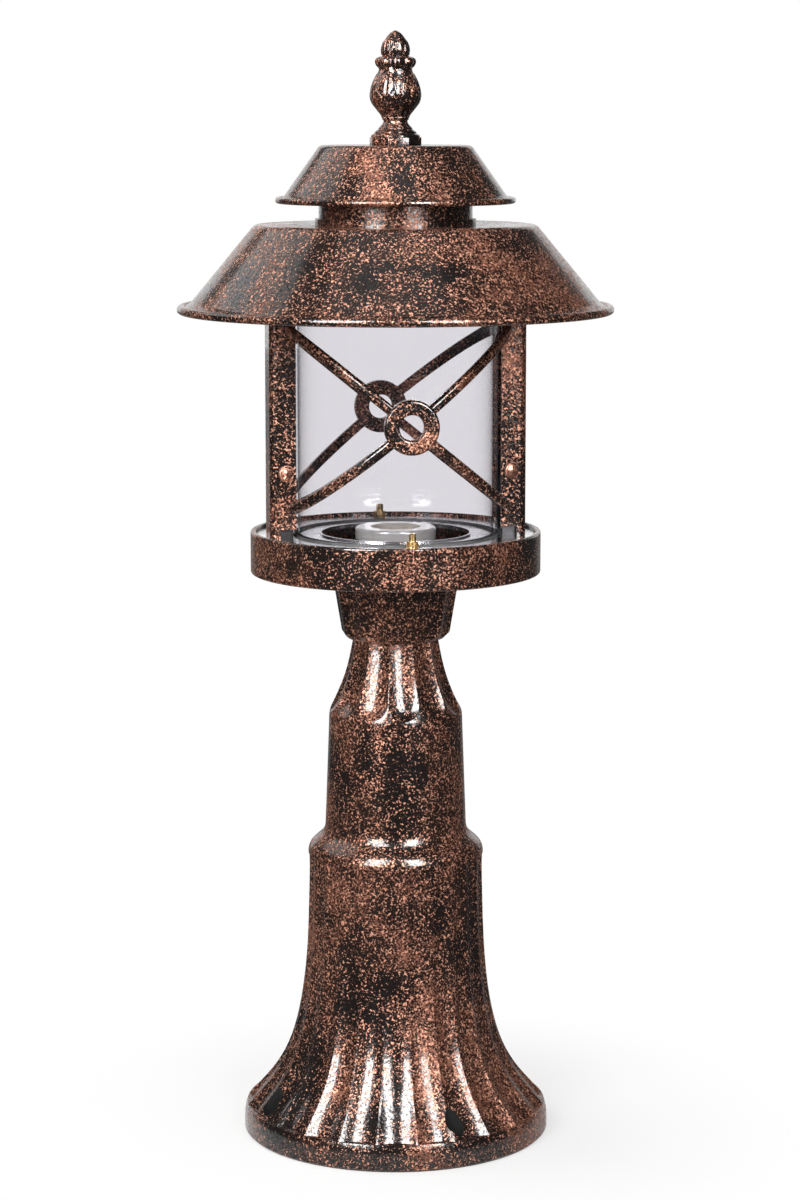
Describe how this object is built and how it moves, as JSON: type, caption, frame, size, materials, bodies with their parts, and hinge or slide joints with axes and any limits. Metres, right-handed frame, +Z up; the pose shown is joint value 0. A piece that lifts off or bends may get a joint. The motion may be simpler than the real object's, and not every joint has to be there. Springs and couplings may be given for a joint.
{
  "type": "pedestal lantern",
  "caption": "Outdoor pedestal lantern: fluted bell base and column, round tray, clear glass cylinder in an X-braced cage, two-tier conical roof and turned finial.",
  "frame": {"origin": "centre of the base's footprint, on the ground plane", "axes": "+Z up through the finial; the front, with one X brace and its ring, faces -Y; +X is the viewer's right"},
  "size_m": [0.2456, 0.2456, 0.6297],
  "materials": {
    "speckled_paint": "glossy black enamel with a dense copper speckle",
    "copper_screws": "copper coloured enamel",
    "bright_plate": "bright sheet",
    "brass": "plain brass",
    "zinc_steel": "bright zinc plate",
    "black_plate": "satin black enamel",
    "white_plastic": "moulded white plastic",
    "black_plastic": "moulded black phenolic",
    "white_ceramic": "glazed white ceramic",
    "clear_glass": "clear, faintly grey",
    "black_rubber": "flat black rubber"
  },
  "bodies": {
    "lantern": {"pedestal": "speckled_paint", "collar": "speckled_paint", "tray": "speckled_paint", "cage_front": "speckled_paint", "cage_rear": "speckled_paint", "main_roof": "speckled_paint", "roof_neck": "speckled_paint", "upper_roof": "speckled_paint", "post_screws": "copper_screws", "floor_plate": "bright_plate", "plate_studs": "brass", "bracket_left": "zinc_steel", "bracket_right": "zinc_steel", "bracket_rivets": "zinc_steel", "tray_screws": "zinc_steel", "top_screws": "zinc_steel", "top_plate": "black_plate", "roof_rod": "zinc_steel", "rod_nut": "zinc_steel", "roof_spacer": "zinc_steel", "nipple": "zinc_steel", "nipple_nuts": "zinc_steel", "nipple_washer": "zinc_steel", "nipple_bush": "white_plastic", "lampholder_body": "black_plastic", "lampholder_rim": "white_ceramic", "lampholder_shell": "brass", "lampholder_contact": "brass", "terminal_strip": "zinc_steel", "terminal_block": "white_plastic", "terminal_screws": "brass", "earth_screw": "brass", "glass": "clear_glass", "glass_seat_lower": "black_rubber", "glass_seat_upper": "black_rubber"},
    "finial_body": {"finial": "speckled_paint"},
    "front_nut": {"stud_nut_front": "brass"},
    "rear_nut": {"stud_nut_rear": "brass"}
  },
  "joints": [
    {"name": "finial_spin", "type": "hinge", "parent": "lantern", "child": "finial_body", "pos_m": [0, 0, 0.5776], "axis": [0, 0, 1], "continuous": true},
    {"name": "front_nut_spin", "type": "hinge", "parent": "lantern", "child": "front_nut", "pos_m": [0, -0.067, 0.3505], "axis": [0, 0, 1], "continuous": true},
    {"name": "rear_nut_spin", "type": "hinge", "parent": "lantern", "child": "rear_nut", "pos_m": [0, 0.067, 0.3505], "axis": [0, 0, 1], "continuous": true}
  ]
}
